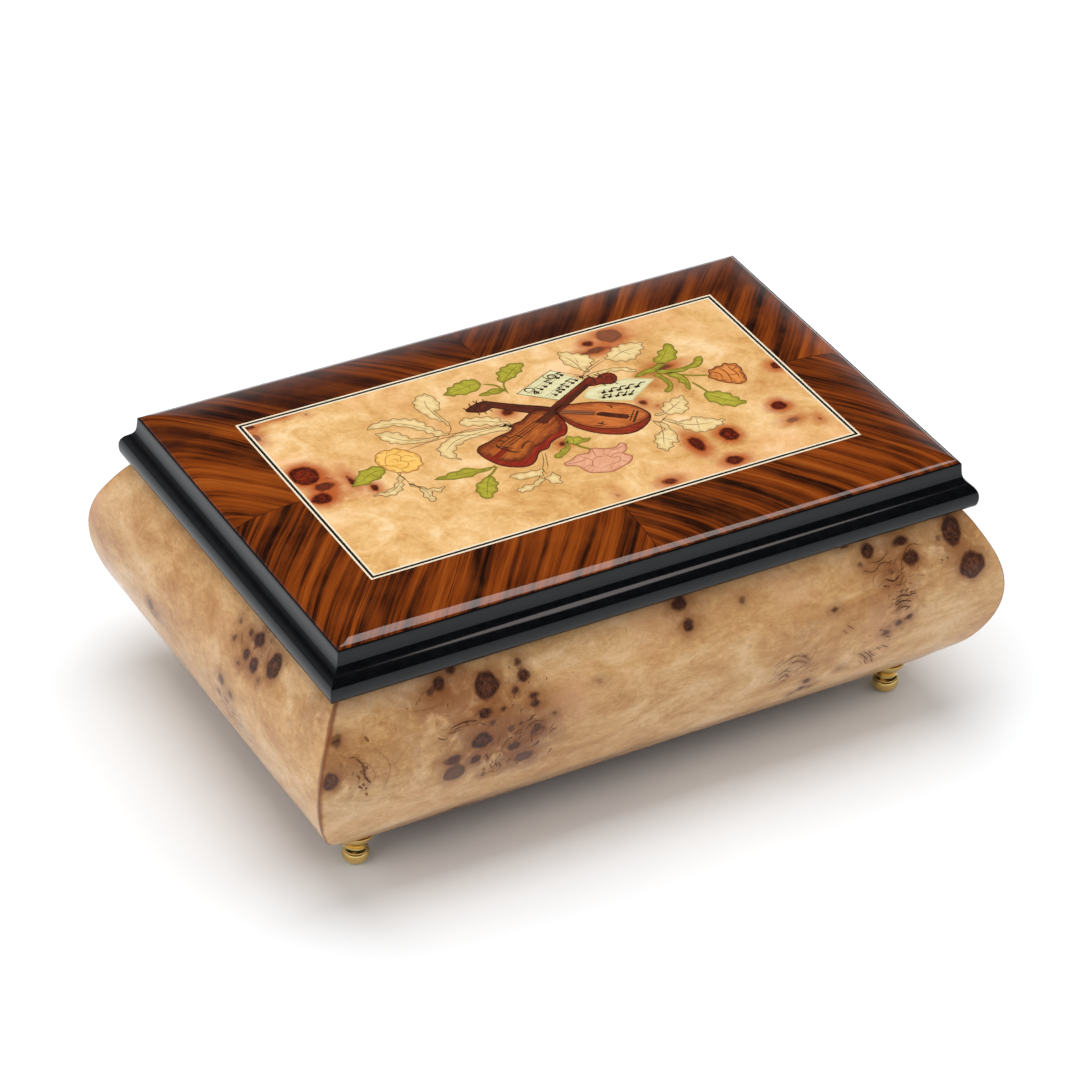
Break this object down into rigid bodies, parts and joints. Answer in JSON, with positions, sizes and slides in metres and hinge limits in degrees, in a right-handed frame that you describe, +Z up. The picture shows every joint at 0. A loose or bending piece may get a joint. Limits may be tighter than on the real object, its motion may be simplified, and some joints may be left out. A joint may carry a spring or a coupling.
{
  "type": "cylinder music box",
  "caption": "Inlaid bombe jewellery music box with hinged lid, pinned-cylinder movement, comb, air-brake governor and winding key underneath.",
  "frame": {"origin": "centre of the footprint on the plane the feet stand on", "axes": "+X along the long side to the right seen from the front, -Y front, +Z up"},
  "size_m": [0.2094, 0.14, 0.0817],
  "materials": {
    "burl_case": "satin lacquered pale burl veneer with small dark eyes",
    "burl_panel": "glossy lacquered pale golden burl veneer with dark knots",
    "rosewood": "glossy lacquered striped rosewood veneer",
    "ebonised_wood": "polished black-lacquered wood",
    "light_stringing": "glossy lacquered holly line",
    "mahogany_inlay": "glossy lacquered red-brown veneer",
    "pale_inlay": "glossy lacquered pale dyed veneer",
    "green_inlay": "glossy lacquered olive-green dyed veneer",
    "flower_inlay": "glossy lacquered dyed veneer, yellow, orange and pink",
    "carcass_wood": "plain stained hardwood, satin",
    "velvet": "deep red velvet, short pile",
    "clear_cover": "clear polished sheet",
    "brass": "polished brass",
    "gilt_metal": "lacquered gilt plate, satin",
    "steel": "ground steel",
    "cast_metal": "machined cast base, satin"
  },
  "bodies": {
    "case": {"front_wall": "burl_case", "back_wall": "burl_case", "left_wall": "burl_case", "right_wall": "burl_case", "base_board": "carcass_wood", "corner_blocks": "carcass_wood", "feet": "brass", "divider": "carcass_wood", "compartment_floor": "carcass_wood", "compartment_lining": "velvet", "floor_pad": "velvet", "ring_rolls": "velvet", "cover_ledges": "carcass_wood", "clear_cover": "clear_cover", "cover_screws": "brass", "case_hinge_leaves": "brass", "hinge_pins": "brass", "case_hinge_screws": "brass", "bedplate": "gilt_metal", "click_spring": "steel", "cylinder_brackets": "gilt_metal", "comb_base": "cast_metal", "comb": "steel", "governor_frame": "gilt_metal", "stop_posts": "gilt_metal", "movement_screws": "steel"},
    "winder": {"winding_arbor": "steel", "winding_key": "brass"},
    "barrel": {"spring_barrel": "gilt_metal", "great_wheel": "brass", "mainspring": "steel"},
    "music_cylinder": {"music_cylinder": "brass", "cylinder_pins": "steel", "cylinder_arbor": "steel", "drive_gear": "brass"},
    "governor": {"governor_arbor": "steel", "governor_wheel": "brass"},
    "air_brake": {"worm_arbor": "steel", "air_fan": "brass"},
    "stop_lever": {"stop_lever": "steel"},
    "stop_pin": {"stop_pin": "brass"},
    "lid": {"lid_core": "carcass_wood", "moulding_front": "ebonised_wood", "moulding_back": "ebonised_wood", "moulding_sides": "ebonised_wood", "rosewood_front_left": "rosewood", "rosewood_front_right": "rosewood", "rosewood_back_left": "rosewood", "rosewood_back_right": "rosewood", "light_stringing": "light_stringing", "ebony_stringing": "ebonised_wood", "center_panel": "burl_panel", "violin_inlay": "mahogany_inlay", "mandolin_inlay": "mahogany_inlay", "sheet_music_inlay": "pale_inlay", "leaf_inlay": "green_inlay", "flower_inlay": "flower_inlay", "lid_lining": "velvet", "lid_hinge_leaves": "brass", "lid_hinge_screws": "brass"}
  },
  "joints": [
    {"name": "lid_hinge", "type": "hinge", "parent": "case", "child": "lid", "pos_m": [0, 0.0649, 0.0649], "axis": [-1, 0, 0], "range_deg": [0, 95]},
    {"name": "winding_key_turn", "type": "hinge", "parent": "case", "child": "winder", "pos_m": [-0.049, 0.027, 0.008], "axis": [0, 0, 1], "continuous": true},
    {"name": "barrel_spin", "type": "hinge", "parent": "case", "child": "barrel", "pos_m": [-0.049, 0.027, 0.03], "axis": [0, 0, 1], "continuous": true},
    {"name": "cylinder_spin", "type": "hinge", "parent": "case", "child": "music_cylinder", "pos_m": [-0.049, -0.01, 0.04175], "axis": [0, -1, 0], "continuous": true},
    {"name": "governor_spin", "type": "hinge", "parent": "case", "child": "governor", "pos_m": [-0.06, -0.034, 0.03309], "axis": [0, -1, 0], "continuous": true},
    {"name": "air_brake_spin", "type": "hinge", "parent": "case", "child": "air_brake", "pos_m": [-0.0675, -0.0375, 0.04], "axis": [0, 0, 1], "continuous": true},
    {"name": "stop_lever_swing", "type": "hinge", "parent": "case", "child": "stop_lever", "pos_m": [-0.047, -0.038, 0.0456], "axis": [0, 0, 1], "range_deg": [0, 25]},
    {"name": "stop_pin_slide", "type": "slide", "parent": "case", "child": "stop_pin", "axis": [0, 0, 1], "range_m": [0, 0.003]}
  ],
  "couplings": [
    {"joint": "cylinder_spin", "follows": "barrel_spin", "ratio": 2.8},
    {"joint": "governor_spin", "follows": "barrel_spin", "ratio": -8.4},
    {"joint": "air_brake_spin", "follows": "barrel_spin", "ratio": -117.6},
    {"joint": "stop_lever_swing", "follows": "lid_hinge", "ratio": 0.26},
    {"joint": "stop_pin_slide", "follows": "lid_hinge", "m_per_rad": 0.0018}
  ]
}
